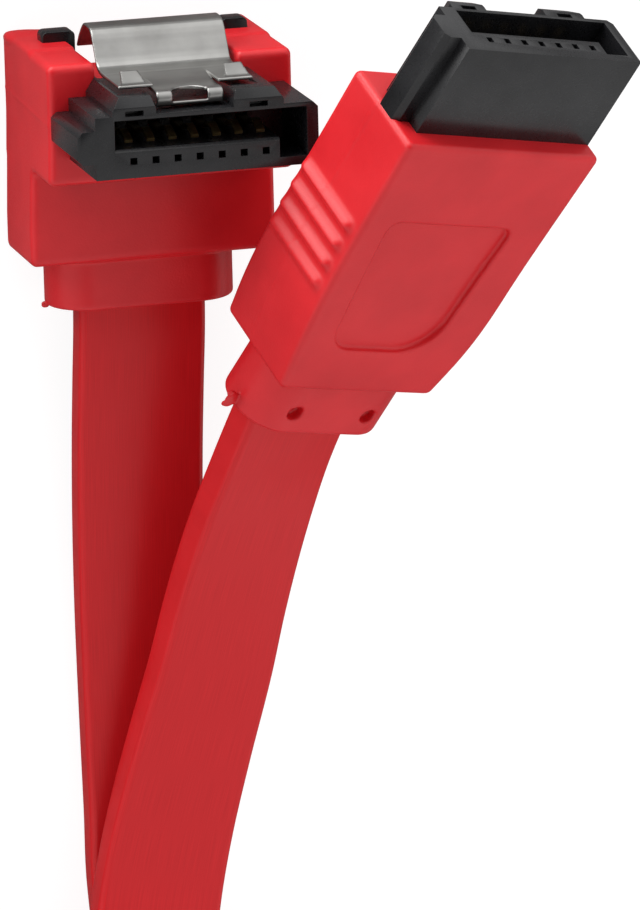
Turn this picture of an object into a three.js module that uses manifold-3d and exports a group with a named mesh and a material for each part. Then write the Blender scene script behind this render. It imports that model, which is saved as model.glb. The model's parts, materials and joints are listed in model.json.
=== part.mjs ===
import * as THREE from 'three';
import { mergeVertices } from 'three/addons/utils/BufferGeometryUtils.js';
import Module from 'manifold-3d';

const wasm = await Module();
wasm.setup();

// A flat disk data cable: a latching right-angle connector, a plain straight connector and
// the ribbon between them, as they lie on a table. Millimetres, +Z up, z = 0 is the table.
// Each connector is built in its own axes: u along its row of contacts, v towards its latch
// side, w out of its mouth, with zero at the middle contact on the mouth's face.

// Contacts
const contactCount = 7;
const contactPitch = 1.27;
const contactWidth = 0.45;
const contactThickness = 0.2;
const contactTipSetback = 1.1;
const contactBowRise = 0.42;
const contactBowReach = 2.6;
const contactTail = 1.0;
const contactGap = 0.12;

// Connector housing
const slotEndMargin = 1.05;
const ridgeEndMargin = 0.8;
const keyLegWidth = 1.6;
const keySideWall = 0.66;
const earSideWall = 1.1;
const earInset = 0.1;
const earBottom = -0.05;
const earHeight = 1.9;
const ridgeBelow = 0.95;
const ridgeAbove = 0.7;
const slotHeight = 1.65;
const slotDepth = 5.3;
const topWall = 0.25;
const keyLegFloor = 0.5;
const housingExposed = 6.1;
const housingEmbedded = 2.5;
const housingChamfer = 0.3;
const pinHole = 0.4;
const pinHoleDepth = 1.2;
const ridgeLeadIn = 0.16;
const tailSlotOverlap = 0.5;
const mouldSkin = 0.35;

// Rails on the latch side of the housing
const railHeight = 0.98;
const railSkirt = 0.3;
const railSlope = 0.45;
const railNoseDrop = 0.54;
const railNoseDepth = 0.34;
const leftRailInner = -2.45;
const leftRailWidth = 2.5;
const rightRailInner = 2.0;
const rightRailWidth = 2.9;
const railWindowWidth = 1.05;
const railWindowHeight = 0.3;
const railWindowDepth = 0.8;

// Overmoulds
const overmouldWidth = 14.2;
const overmouldThickness = 6.2;
const overmouldRound = 0.5;
const cornerRound = 0.75;
const seamGap = 0.2;

// Right-angle overmould
const angledDepth = 16.7;
const shoulderTop = 4.45;
const upperBlockBottom = -2.5;
const lowerBodyBottom = -8.0;
const channelFloor = 2.3;
const channelGap = 0.28;
const angledCollarLength = 3.0;

// Straight overmould
const straightRim = 6.4;
const straightCentre = 1.3;
const straightTaperStart = 13.5;
const straightTaperLength = 4.4;
const straightTaper = 0.55;
const straightTailHalf = 5.6;
const shoulderRound = 1.4;
const straightCollarLength = 3.9;
const straightCollarCentre = 1.0;
const gripRidges = 4;
const gripPitch = 1.33;
const gripFirst = 7.0;
const gripProud = 0.2;
const gripHalfWidth = 0.3;
const panelTop = 5.9;
const panelLength = 9.0;
const panelTopHalf = 4.6;
const panelTailHalf = 3.7;
const panelDepth = 0.3;
const panelTopRound = 0.9;
const panelLeftRound = 1.6;
const panelRightRound = 2.5;
const dimpleDiameter = 1.1;
const dimpleSpread = 5.4;
const dimpleFromEnd = 1.5;
const dimpleDepth = 0.7;

// Collars
const collarWidth = 10.3;
const collarThickness = 5.1;
const collarRound = 2.45;

// Inner moulds
const innerHalfWidth = 5.6;
const innerRound = 0.3;
const angledInnerTop = 1.9;
const angledInnerBottom = -3.0;
const angledInnerBack = 15.2;
const straightInnerLength = 5.6;
const straightInnerThickness = 4.0;
const tabFront = 12.3;
const tabDepth = 1.3;
const tabProud = 0.7;
const leftTabOuter = -5.85;
const leftTabWidth = 1.9;
const rightTabOuter = 6.2;
const rightTabWidth = 1.5;

// Latch spring
const sheetThickness = 0.2;
const latchLeft = -4.1;
const latchRight = 3.65;
const plateLift = 0.14;
const plateFront = 1.9;
const plateToTop = 3.6;
const plateLap = 0.6;
const archTop = 6.04;
const archTopDepth = 9.3;
const archFootHeight = 4.02;
const footToTop = 2.6;
const archShoulderHeight = 5.86;
const shoulderToTop = 1.2;
const archTopHalf = 0.4;
const archTopFall = 0.08;
const tailKneeHeight = 5.13;
const topToKnee = 1.5;
const tailEnd = 4.54;
const topToTail = 2.0;
const plateOverlap = 0.35;
const curlCentreHeight = 3.16;
const curlCentreDepth = 1.35;
const curlRadius = 0.36;
const curlReturn = 1.0;
const tongueLowDepth = 2.6;
const stepToPlateRear = 1.8;
const prongGapRadius = 1.02;
const barbRise = 0.62;
const barbLength = 1.15;
const barbWidth = 1.35;
const barbInset = 0.3;
const latchTravelDegrees = 4;
const reliefGap = 0.16;

// Cable
const cableWidth = 7.5;
const cableThickness = 2.1;
const cableRound = 0.7;
const angledCableOffset = -0.35;
const straightCableOffset = 0.15;
const jacketInAngled = 4.5;
const jacketInStraight = 8.2;
const coreDiameter = 0.9;
const drainDiameter = 0.35;
const coreSpread = 1.15;
const pairSpread = 3.4;
const cordGap = 0.3;

// Coil of the cable's spare length, and its tie
const coilOuterRadius = 30.5;
const coilPitch = 3.0;
const coilTurns = 1.5;
const coilCentreY = -106;
const coilEdgeRound = 0.4;
const tieThickness = 0.6;
const tieWidth = 3.0;
const tieSlack = 0.6;
const tieRound = 1.2;

// Where the straight connector lies, and the way it is turned, in degrees about x, y and z
const straightAcross = 17.65;
const straightAhead = 6.4;
const straightRise = 7.6;
const straightPlace = [straightAcross, straightAhead, angledDepth + straightRise];
const straightTurn = [-62.1, 22.35, 14.8];

// Route of the right-angle connector's strand: x, y, z and the ribbon's tilt in degrees
const angledStrand = [
  [-0.35, -6.5, 3.1, 0],
  [-0.35, -9, 3.1, 0],
  [-0.38, -12.5, 3.07, 0],
  [-0.48, -16, 2.8, 0],
  [-0.5, -20, 2.2, 0],
  [-0.48, -25, 1.6, 0],
  [-0.43, -30, 1.25, 0],
  [-0.34, -36, 1.12, 0],
  [-0.24, -42, 1.1, 0],
  [-0.18, -47, 1.15, 1],
  [0.4, -51.6, 1.5, 6],
  [2.7, -55.9, 2.16, 18],
  [6.3, -60.7, 3.1, 38],
  [9.9, -65.9, 3.68, 58],
  [13.3, -71, 3.83, 75],
  [16.4, -75.6, 3.75, 85],
  [18, -78, 3.72, 88],
];

// Route of the straight connector's strand, from its jacket's end to the top of the coil
const straightStrand = [
  [9.87, -9.28, 14.53, -26.2],
  [8.92, -11.32, 13.45, -26.2],
  [7.78, -13.77, 12.15, -26.2],
  [6.67, -16.14, 10.9, -26.2],
  [5.9, -18.62, 9.68, -25],
  [5.07, -22.2, 7.88, -22],
  [4.31, -25.5, 6.7, -19],
  [3.52, -29.2, 5.7, -16],
  [2.75, -33, 4.98, -13],
  [1.5, -37.8, 4.35, -9],
  [0.35, -42.5, 3.85, -5],
  [-0.45, -46.5, 3.65, -2],
  [-1.15, -50.6, 4.0, 0],
  [-2.1, -55, 4.55, 0],
  [-3.6, -60, 5.35, 0],
  [-5.4, -64.7, 6.3, 0],
  [-7.3, -69, 7.7, 0],
  [-9.1, -72.9, 8.65, 0],
  [-10.9, -77, 9.0, 0],
  [-12.7, -81.1, 9.05, 0],
  [-14.5, -85.2, 9.05, -4],
  [-16.2, -89.2, 8.8, -15],
  [-17.9, -93.2, 7.9, -34],
  [-19.6, -97.2, 6.5, -56],
  [-21.2, -101, 5.1, -75],
  [-22.4, -104.9, 4.0, -87],
];

// Values worked out from the dimensions above
const halfPi = Math.PI / 2;
const smallestDetail = 0.004;
const overcut = 1;
const rowHalf = contactPitch * (contactCount - 1) / 2;
const slotLeft = -rowHalf - slotEndMargin;
const ridgeRight = rowHalf + ridgeEndMargin;
const slotRight = ridgeRight + keyLegWidth;
const bodyRight = slotRight + keySideWall;
const bodyLeft = slotLeft - earSideWall;
const slotTop = ridgeAbove + slotHeight;
const housingTop = slotTop + topWall;
const railTop = housingTop + railHeight;
const housingLength = housingExposed + housingEmbedded;
const overmouldHalf = overmouldWidth / 2;
const earLeft = earInset - overmouldHalf;
const skinHalf = overmouldHalf - mouldSkin;
const leftRailOuter = leftRailInner - leftRailWidth;
const rightRailOuter = rightRailInner + rightRailWidth;
const plateRear = archTopDepth - plateToTop;
const tongueStepDepth = plateRear - stepToPlateRear;
const archFootDepth = archTopDepth - footToTop;
const archShoulderDepth = archTopDepth - shoulderToTop;
const tailKneeDepth = archTopDepth + topToKnee;
const tailDepth = archTopDepth + topToTail;
const channelLeft = latchLeft - channelGap;
const channelRight = latchRight + channelGap;
const lowerBodyFront = angledDepth - overmouldThickness;
const strandDepth = angledDepth - overmouldThickness / 2;
const innerFront = housingLength + seamGap;
const straightInnerBack = innerFront + straightInnerLength;
const straightShoulder = straightRim + straightTaperStart;
const straightTail = straightShoulder + straightTaperLength;
const straightEnd = straightTail + straightCollarLength;
const straightFace = straightCentre - overmouldThickness / 2;
const angledCollarEnd = lowerBodyBottom - angledCollarLength;
const coilInnerRadius = coilOuterRadius - coilPitch * coilTurns;

// Colours and finishes
const finish = (color, roughness, metalness = 0) =>
  new THREE.MeshStandardMaterial({ color, roughness, metalness });
const redPlastic = finish(0xc8141c, 0.42);
const redJacket = finish(0xb8121a, 0.38);
const blackPlastic = finish(0x17181b, 0.4);
const springSteel = finish(0xb9b8b2, 0.28, 1);
const goldPlate = finish(0xc9a24a, 0.3, 1);
const copper = finish(0xb87333, 0.4, 1);
const coreInsulation = finish(0xe8e6de, 0.5);
const tieBlack = finish(0x1b1b1d, 0.55);

const point = (a, b) => new THREE.Vector2(a, b);

// A closed geometry as a solid that can be cut and joined
function toSolid(geometry) {
  geometry.deleteAttribute('normal');
  geometry.deleteAttribute('uv');
  const merged = mergeVertices(geometry, 1e-4);
  return new wasm.Manifold(new wasm.Mesh({
    numProp: 3,
    vertProperties: new Float32Array(merged.attributes.position.array),
    triVerts: new Uint32Array(merged.index.array),
  }));
}

// A solid back as a named mesh
function toMesh(name, solid, material) {
  const { vertProperties, triVerts } = solid.simplify(smallestDetail).getMesh();
  const geometry = new THREE.BufferGeometry();
  geometry.setAttribute('position', new THREE.BufferAttribute(vertProperties, 3));
  geometry.setIndex(new THREE.BufferAttribute(triVerts, 1));
  geometry.computeVertexNormals();
  const mesh = new THREE.Mesh(geometry, material);
  mesh.name = name;
  return mesh;
}

const join = (...solids) => solids.reduce((all, next) => all.add(next));

// A box between two values on each axis
function block(u0, u1, v0, v1, w0, w1) {
  const box = new THREE.BoxGeometry(u1 - u0, v1 - v0, w1 - w0);
  return toSolid(box.translate((u0 + u1) / 2, (v0 + v1) / 2, (w0 + w1) / 2));
}

// A box about u = 0
const centredBlock = (half, v0, v1, w0, w1) => block(-half, half, v0, v1, w0, w1);

// The extrusion of an outline, its edges rounded by a bevel where a round is given
function extrusion(outline, depth, round = 0) {
  return new THREE.ExtrudeGeometry(new THREE.Shape(outline), {
    depth: depth - 2 * round,
    steps: 1,
    bevelEnabled: round > 0,
    bevelThickness: round,
    bevelSize: round,
    bevelOffset: -round,
    bevelSegments: 3,
  }).translate(0, 0, round);
}

// An outline in u and v carried along w
const alongW = (outline, w0, w1, round) =>
  toSolid(extrusion(outline, w1 - w0, round).translate(0, 0, w0));

// An outline in v and w carried along u
const uBasis = new THREE.Matrix4().set(0, 0, 1, 0, 1, 0, 0, 0, 0, 1, 0, 0, 0, 0, 0, 1);
const alongU = (outline, u0, u1, round) =>
  toSolid(extrusion(outline, u1 - u0, round).applyMatrix4(uBasis).translate(u0, 0, 0));

// An outline in u and w carried along v
const alongV = (outline, v0, v1, round) =>
  toSolid(extrusion(outline, v1 - v0, round).rotateX(halfPi).translate(0, v1, 0));

// The outline with each corner turned into an arc of its radius
function rounded(outline, radii, segments = 4) {
  const result = [];
  outline.forEach((corner, index) => {
    const radius = Array.isArray(radii) ? radii[index] : radii;
    const before = outline.at(index - 1).clone().sub(corner).normalize();
    const after = outline[(index + 1) % outline.length].clone().sub(corner).normalize();
    const half = Math.acos(THREE.MathUtils.clamp(before.dot(after), -1, 1)) / 2;
    const inward = before.clone().add(after).normalize();
    const centre = corner.clone().addScaledVector(inward, radius / Math.sin(half));
    const first = corner.clone().addScaledVector(before, radius / Math.tan(half)).sub(centre);
    const last = corner.clone().addScaledVector(after, radius / Math.tan(half)).sub(centre);
    const sweep = Math.atan2(first.cross(last), first.dot(last));
    for (let step = 0; step <= segments; step += 1) {
      const spoke = first.clone().rotateAround(point(0, 0), sweep * step / segments);
      result.push(spoke.add(centre));
    }
  });
  return result;
}

// The outline, drawn anticlockwise, with every edge moved outwards
function grown(outline, distance) {
  return outline.map((corner, index) => {
    const before = corner.clone().sub(outline.at(index - 1)).normalize();
    const after = outline[(index + 1) % outline.length].clone().sub(corner).normalize();
    const outBefore = point(before.y, -before.x);
    const outAfter = point(after.y, -after.x);
    const bisector = outBefore.clone().add(outAfter).normalize();
    return corner.clone().addScaledVector(bisector, distance / bisector.dot(outAfter));
  });
}

const rectangle = (a0, a1, b0, b1) => [point(a0, b0), point(a1, b0), point(a1, b1), point(a0, b1)];

// Sheet metal bent along a smooth line in v and w, as a closed outline of its thickness
function sheetOutline(points, thickness, samples) {
  const curve = new THREE.SplineCurve(points);
  const upper = [];
  const lower = [];
  for (let sample = 0; sample <= samples; sample += 1) {
    const centre = curve.getPoint(sample / samples);
    const tangent = curve.getTangent(sample / samples);
    const across = point(-tangent.y, tangent.x).multiplyScalar(thickness / 2);
    upper.push(centre.clone().add(across));
    lower.unshift(centre.clone().sub(across));
  }
  return [...upper, ...lower];
}

// Outline of the housing as seen into its mouth: body, two rails and the guide ear
function housingOutline() {
  const rail = (outer, inner) => [
    point(outer, housingTop),
    point(outer, housingTop + railSkirt),
    point(outer + Math.sign(inner - outer) * railSlope, railTop),
    point(inner - Math.sign(inner - outer) * railSlope / 2, railTop),
    point(inner, housingTop + railSkirt),
    point(inner, housingTop),
  ];
  return [
    point(bodyLeft, -ridgeBelow),
    point(bodyRight, -ridgeBelow),
    point(bodyRight, housingTop - housingChamfer),
    point(bodyRight - housingChamfer, housingTop),
    ...rail(rightRailOuter, rightRailInner),
    ...rail(leftRailOuter, leftRailInner).reverse(),
    point(bodyLeft, housingTop),
    point(bodyLeft, earBottom + earHeight),
    point(earLeft + housingChamfer, earBottom + earHeight),
    point(earLeft, earBottom + earHeight - housingChamfer),
    point(earLeft, earBottom + housingChamfer),
    point(earLeft + housingChamfer, earBottom),
    point(bodyLeft, earBottom),
  ];
}

const contactU = (index) => (index - (contactCount - 1) / 2) * contactPitch;
const contactV = ridgeAbove + contactGap + contactThickness / 2;

// What lies outside a half width on both sides, from behind the housing out to a depth
const flanks = (half, w1) => join(
  block(-overmouldHalf - overcut, -half, -ridgeBelow - overcut, railTop + overcut,
    -innerFront - overcut, w1),
  block(half, overmouldHalf + overcut, -ridgeBelow - overcut, railTop + overcut,
    -innerFront - overcut, w1));

// The black housing: an L-shaped mouth over a ridge with seven blind holes, narrower behind
// the overmould's rim
function makeHousing(rim) {
  const slot = block(slotLeft, slotRight, ridgeAbove, slotTop, -slotDepth, overcut);
  const keyLeg = block(ridgeRight, slotRight, keyLegFloor - ridgeBelow, slotTop, -slotDepth, overcut);
  const leadIn = alongU([
    point(ridgeAbove + ridgeLeadIn, 2 * ridgeLeadIn),
    point(ridgeAbove - ridgeLeadIn, 2 * ridgeLeadIn),
    point(ridgeAbove - ridgeLeadIn, 0),
    point(ridgeAbove + ridgeLeadIn, -2 * ridgeLeadIn),
  ], slotLeft, ridgeRight);
  let body = alongW(housingOutline(), -housingLength, 0);
  body = body.subtract(flanks(skinHalf - seamGap, seamGap - rim));
  body = body.subtract(join(slot, keyLeg)).subtract(leadIn);
  for (let index = 0; index < contactCount; index += 1) {
    const u = contactU(index);
    const half = contactWidth / 2 + contactGap;
    const hole = pinHole / 2;
    body = body.subtract(block(u - hole, u + hole, -hole, hole, -pinHoleDepth, overcut));
    body = body.subtract(block(u - half, u + half, ridgeAbove,
      ridgeAbove + contactThickness + 2 * contactGap, -housingLength - overcut,
      tailSlotOverlap - slotDepth));
  }
  const nose = alongU([
    point(railTop - railNoseDrop, overcut),
    point(railTop - railNoseDrop, 0),
    point(railTop + railNoseDrop, -2 * railNoseDepth),
    point(railTop + railNoseDrop, overcut),
  ], leftRailOuter - overcut, rightRailOuter + overcut);
  body = body.subtract(nose);
  [(leftRailInner + leftRailOuter) / 2, (rightRailInner + rightRailOuter) / 2].forEach((middle) => {
    const half = railWindowWidth / 2;
    const bottom = housingTop - railWindowHeight / 6;
    body = body.subtract(block(middle - half, middle + half, bottom, bottom + railWindowHeight,
      -railWindowDepth, overcut));
  });
  return body;
}

// The hollow that the housing needs in an overmould, under the mould's skin
const housingPocket = () =>
  alongW(grown(housingOutline(), seamGap), -innerFront, 0).subtract(flanks(skinHalf, overcut));

// One contact: a bowed spring finger over the ridge, a straight shank and a solder tail
function makeContact() {
  const front = contactTipSetback;
  const tail = housingLength + contactTail;
  return sheetOutline([
    point(contactV, -front),
    point(contactV + contactBowRise * 0.6, -front - contactBowReach * 0.22),
    point(contactV + contactBowRise, -front - contactBowReach * 0.45),
    point(contactV + contactBowRise * 0.45, -front - contactBowReach * 0.75),
    point(contactV, -front - contactBowReach),
    point(contactV, -slotDepth),
    point(contactV, -tail),
  ], contactThickness, 14);
}

// A mould's pocket for the seven tails
const tailPocket = () => centredBlock(rowHalf + contactWidth / 2 + seamGap, ridgeAbove - seamGap,
  contactV + contactThickness / 2 + seamGap, -innerFront - contactTail - seamGap,
  overcut - innerFront);

// An oval section about a centre: the sleeve round the cable, and the slot for it
const ovalOutline = (a, b, width, height, round) => rounded(
  rectangle(a - width / 2, a + width / 2, b - height / 2, b + height / 2), round);
const collarOutline = (a, b) => ovalOutline(a, b, collarWidth, collarThickness, collarRound);
const cableSlotOutline = (a, b) =>
  ovalOutline(a, b, cableWidth + 2 * cordGap, cableThickness + 2 * cordGap, cableRound);

// Right-angle inner mould: a block behind the housing with two tabs that show at the back
function angledInner(grow) {
  const bottom = angledInnerBottom - grow;
  const top = angledInnerTop + grow;
  const back = -angledInnerBack - grow;
  const core = centredBlock(innerHalfWidth + grow, bottom, top, back, -innerFront);
  const tab = (outer, width) => {
    const u0 = Math.min(outer, outer - Math.sign(outer) * width) - grow;
    const outline = rectangle(u0, u0 + width + 2 * grow, angledInnerTop - overcut,
      shoulderTop + tabProud + grow);
    const shape = grow > 0 ? outline : rounded(outline, innerRound);
    return alongW(shape, -tabFront - tabDepth - grow, -tabFront + grow);
  };
  return join(core, tab(leftTabOuter, leftTabWidth), tab(rightTabOuter, rightTabWidth));
}

// Right-angle overmould: an L in side view, two shoulders with the latch's channel between
function makeAngledOvermould() {
  const profile = rounded([
    point(shoulderTop, -angledDepth),
    point(shoulderTop, -housingExposed),
    point(upperBlockBottom, -housingExposed),
    point(upperBlockBottom, -lowerBodyFront),
    point(lowerBodyBottom, -lowerBodyFront),
    point(lowerBodyBottom, -angledDepth),
  ], cornerRound);
  const body = alongU(profile, -overmouldHalf, overmouldHalf, overmouldRound);
  const collar = alongV(collarOutline(angledCableOffset, -strandDepth), angledCollarEnd,
    lowerBodyBottom + overcut);
  const channel = block(channelLeft, channelRight, channelFloor, shoulderTop + overcut,
    -angledDepth - overcut, -housingExposed + overcut);
  const jacketEnd = angledCollarEnd + jacketInAngled;
  const cableSlot = alongV(cableSlotOutline(angledCableOffset, -strandDepth),
    angledCollarEnd - overcut, jacketEnd + 2 * cordGap);
  const cores = centredBlock(cableWidth / 2, jacketEnd, angledInnerBottom,
    -strandDepth - coreDiameter / 2 - cordGap, -strandDepth + coreDiameter / 2 + cordGap);
  const hollow = join(housingPocket(), angledInner(seamGap), cableSlot, cores);
  return join(body, collar).subtract(channel).subtract(hollow);
}

// Straight overmould: a slab that narrows to its collar, with grips and a bare panel
function makeStraightOvermould() {
  const half = overmouldHalf;
  const shoulder = half - straightTaper;
  const outline = rounded([
    point(-half, -straightRim),
    point(-shoulder, -straightShoulder),
    point(-straightTailHalf, -straightTail),
    point(straightTailHalf, -straightTail),
    point(shoulder, -straightShoulder),
    point(half, -straightRim),
  ], [cornerRound, shoulderRound, cornerRound, cornerRound, shoulderRound, cornerRound]);
  const back = straightFace + overmouldThickness;
  let body = alongV(outline, straightFace, back, overmouldRound);
  const collar = alongW(collarOutline(straightCableOffset, straightCollarCentre),
    -straightEnd, overcut - straightTail);
  const sideSlope = Math.atan2(straightTaper, straightTaperStart);
  for (let index = 0; index < gripRidges; index += 1) {
    const fromRim = gripFirst + index * gripPitch;
    const u = half - Math.tan(sideSlope) * fromRim;
    const w = -straightRim - fromRim;
    [-1, 1].forEach((side) => {
      const ridge = rounded(rectangle(side * (u + gripProud) - gripHalfWidth * 1.5 * (1 + side),
        side * (u + gripProud) + gripHalfWidth * 1.5 * (1 - side), w - gripHalfWidth,
        w + gripHalfWidth), gripHalfWidth * 0.6, 2);
      body = body.add(alongV(ridge, straightFace + overmouldRound / 2, back - overmouldRound / 2));
    });
  }
  const panel = rounded([
    point(-panelTopHalf, -straightRim - panelTop),
    point(-panelTailHalf, -straightRim - panelTop - panelLength),
    point(panelTailHalf, -straightRim - panelTop - panelLength),
    point(panelTopHalf, -straightRim - panelTop),
  ], [panelTopRound, panelLeftRound, panelRightRound, panelTopRound]);
  body = body.subtract(alongV(panel, straightFace - overcut, straightFace + panelDepth));
  body = body.add(collar);
  [-1, 1].forEach((side) => {
    const face = straightCollarCentre - collarThickness / 2;
    const dimple = new THREE.CylinderGeometry(dimpleDiameter / 2, dimpleDiameter / 2,
      2 * dimpleDepth, 12);
    dimple.translate(straightCableOffset + side * dimpleSpread / 2, face,
      dimpleFromEnd - straightEnd);
    body = body.subtract(toSolid(dimple));
  });
  const jacketEnd = -straightEnd + jacketInStraight;
  const cableSlot = alongW(cableSlotOutline(straightCableOffset, straightCentre),
    -straightEnd - overcut, jacketEnd + 2 * cordGap);
  const cores = centredBlock(cableWidth / 2, straightCentre - coreDiameter / 2 - cordGap,
    straightCentre + coreDiameter / 2 + cordGap, jacketEnd, -straightInnerBack);
  return body.subtract(join(housingPocket(), straightInner(seamGap), cableSlot, cores));
}

// Straight inner mould: a plain block behind the housing
function straightInner(grow) {
  const half = straightInnerThickness / 2 + grow;
  return centredBlock(innerHalfWidth + grow, straightCentre - half, straightCentre + half,
    -straightInnerBack - grow, -innerFront);
}

// The four insulated cores and the three drain wires between an inner mould and the jacket
function addCores(group, prefix, from, to, place) {
  const length = Math.abs(to - from) - 2 * cordGap;
  const wire = (name, diameter, u, material) => {
    const rod = new THREE.CylinderGeometry(diameter / 2, diameter / 2, length, 10);
    rod.translate(u, (from + to) / 2, 0);
    group.add(toMesh(`${prefix}_${name}`, toSolid(rod.applyMatrix4(place)), material));
  };
  [-1, 1].forEach((pair, pairIndex) => {
    [-1, 1].forEach((side, coreIndex) => {
      const u = pair * pairSpread / 2 + side * coreSpread / 2;
      wire(`core_${2 * pairIndex + coreIndex + 1}`, coreDiameter, u, coreInsulation);
    });
  });
  [-1, 0, 1].forEach((side, index) => {
    const u = side * (pairSpread / 2 + coreSpread / 2 + coreDiameter / 2 + drainDiameter);
    wire(`drain_${index + 1}`, drainDiameter, u, copper);
  });
}

// The latch spring: a plate on the rails, a rolled front with two prongs, two barbs, and
// the thumb arch, all pressed from one strip
function makeLatch() {
  const plateV = railTop + plateLift + sheetThickness / 2;
  const arch = sheetOutline([
    point(plateV, -plateRear + plateLap),
    point(plateV, -plateRear),
    point(archFootHeight, -archFootDepth),
    point((archFootHeight + archShoulderHeight) / 2, -(archFootDepth + archShoulderDepth) / 2),
    point(archShoulderHeight, -archShoulderDepth),
    point(archTop, archTopHalf - archTopDepth),
    point(archTop - archTopFall, -archTopHalf - archTopDepth),
    point(tailKneeHeight, -tailKneeDepth),
    point(tailEnd, -tailDepth),
  ], sheetThickness, 26);
  const plate = sheetOutline([
    point(plateV, -plateFront),
    point(plateV, -(plateFront + plateRear) / 2),
    point(plateV, -plateRear + plateLap / 2),
  ], sheetThickness, 3);
  const around = (degrees) => point(
    curlCentreHeight + curlRadius * Math.sin(THREE.MathUtils.degToRad(degrees)),
    -curlCentreDepth + curlRadius * Math.cos(THREE.MathUtils.degToRad(degrees)));
  const middle = sheetOutline([
    point(curlCentreHeight - curlRadius, -curlCentreDepth - curlReturn),
    around(-100),
    around(-50),
    around(0),
    around(50),
    around(95),
    point(curlCentreHeight + curlRadius, -tongueLowDepth),
    point((curlCentreHeight + curlRadius + plateV) / 2, -tongueStepDepth),
    point(plateV, -plateRear + plateLap),
    point(plateV, -plateRear + plateLap / 2),
  ], sheetThickness, 26);
  const middleLeft = leftRailInner + cordGap;
  const middleRight = rightRailInner - cordGap;
  const middleCentre = (middleLeft + middleRight) / 2;
  const notch = new THREE.CylinderGeometry(prongGapRadius, prongGapRadius,
    4 * curlRadius - 2 * sheetThickness, 20);
  notch.translate(middleCentre, curlCentreHeight + curlRadius, -curlCentreDepth + curlRadius);
  const notchFront = block(middleCentre - prongGapRadius, middleCentre + prongGapRadius,
    curlCentreHeight - curlRadius + sheetThickness, curlCentreHeight + overcut,
    -curlCentreDepth, 0);
  const rolled = alongU(middle, middleLeft, middleRight)
    .subtract(toSolid(notch)).subtract(notchFront);
  const barb = (u0, u1) => alongU([
    point(plateV - sheetThickness / 2, -plateFront - barbInset),
    point(plateV + sheetThickness / 2, -plateFront - barbInset),
    point(plateV + barbRise, -plateFront - barbInset - barbLength),
    point(plateV + barbRise - sheetThickness, -plateFront - barbInset - barbLength),
    point(plateV - sheetThickness / 2, -plateFront - barbInset - barbLength / 2),
  ].reverse(), u0, u1);
  return join(
    alongU(arch, latchLeft, latchRight),
    alongU(plate, latchLeft, leftRailInner + plateOverlap),
    alongU(plate, rightRailInner - plateOverlap, latchRight),
    rolled,
    barb(latchLeft + barbInset, latchLeft + barbInset + barbWidth),
    barb(latchRight - barbInset / 3 - barbWidth, latchRight - barbInset / 3),
  );
}

// Room under the latch's plate for its travel, cut into the two rails
function latchRelief() {
  const travel = THREE.MathUtils.degToRad(latchTravelDegrees);
  const reach = housingLength - curlCentreDepth;
  const underPlate = railTop + plateLift - reliefGap;
  return alongU([
    point(railTop + overcut, -curlCentreDepth),
    point(underPlate, -curlCentreDepth),
    point(underPlate - Math.tan(travel) * reach, -housingLength),
    point(railTop + overcut, -housingLength),
  ], latchLeft - reliefGap, latchRight + reliefGap);
}

// A route's points as a smooth curve whose frames keep the ribbon's tilt
class RibbonPath extends THREE.CatmullRomCurve3 {
  constructor(route) {
    super(route.map(([x, y, z]) => new THREE.Vector3(x, y, z)), false, 'centripetal');
    this.tilts = route.map((entry) => THREE.MathUtils.degToRad(entry[3]));
  }

  tiltAt(share) {
    const place = this.getUtoTmapping(share) * (this.tilts.length - 1);
    const index = Math.min(Math.floor(place), this.tilts.length - 2);
    return THREE.MathUtils.lerp(this.tilts[index], this.tilts[index + 1], place - index);
  }

  computeFrenetFrames(steps) {
    const frames = { tangents: [], normals: [], binormals: [] };
    for (let step = 0; step <= steps; step += 1) {
      const tangent = this.getTangentAt(step / steps);
      const level = new THREE.Vector3(-tangent.y, tangent.x, 0).normalize();
      const normal = level.applyAxisAngle(tangent, this.tiltAt(step / steps));
      frames.tangents.push(tangent);
      frames.normals.push(normal);
      frames.binormals.push(tangent.clone().cross(normal));
    }
    return frames;
  }
}

const ribbonSection = () => new THREE.Shape(rounded(rectangle(
  -cableWidth / 2, cableWidth / 2, -cableThickness / 2, cableThickness / 2), cableRound, 1));

function makeStrand(name, route, steps) {
  const path = new RibbonPath(route);
  const tube = new THREE.ExtrudeGeometry(ribbonSection(), { steps, extrudePath: path });
  return toMesh(name, toSolid(tube), redJacket);
}

// The spare length as a ring of ribbon standing on edge, notched where its tie passes under
function makeCoil() {
  const inner = coilInnerRadius - cableThickness / 2;
  const outer = coilOuterRadius + cableThickness / 2;
  const profile = rounded(rectangle(inner, outer, 0, cableWidth), coilEdgeRound, 2);
  const ring = new THREE.LatheGeometry([...profile, profile[0].clone()], 56);
  const notch = block(-tieWidth / 2 - cordGap, tieWidth / 2 + cordGap, -outer - overcut,
    overcut - inner, -overcut, tieThickness + cordGap);
  return toSolid(ring.rotateX(halfPi)).subtract(notch).translate(0, coilCentreY, 0);
}

// The tie: a flat strap round both turns at the ring's far side
function makeTie() {
  const inner = coilInnerRadius - cableThickness / 2 - cordGap;
  const outer = coilOuterRadius + cableThickness / 2 + cordGap;
  const top = cableWidth + tieThickness + cordGap + tieSlack;
  const outside = rounded(rectangle(coilCentreY - outer - tieThickness,
    coilCentreY - inner + tieThickness, 0, top + tieThickness), tieRound);
  const inside = rounded(rectangle(coilCentreY - outer, coilCentreY - inner, tieThickness, top),
    tieRound - tieThickness);
  return alongU(outside, -tieWidth / 2, tieWidth / 2)
    .subtract(alongU(inside, -tieWidth, tieWidth));
}

function addContacts(group, prefix) {
  for (let index = 0; index < contactCount; index += 1) {
    const u = contactU(index);
    const finger = alongU(makeContact(), u - contactWidth / 2, u + contactWidth / 2);
    group.add(toMesh(`${prefix}_contact_${index + 1}`, finger, goldPlate));
  }
}

const assembly = new THREE.Group();

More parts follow.
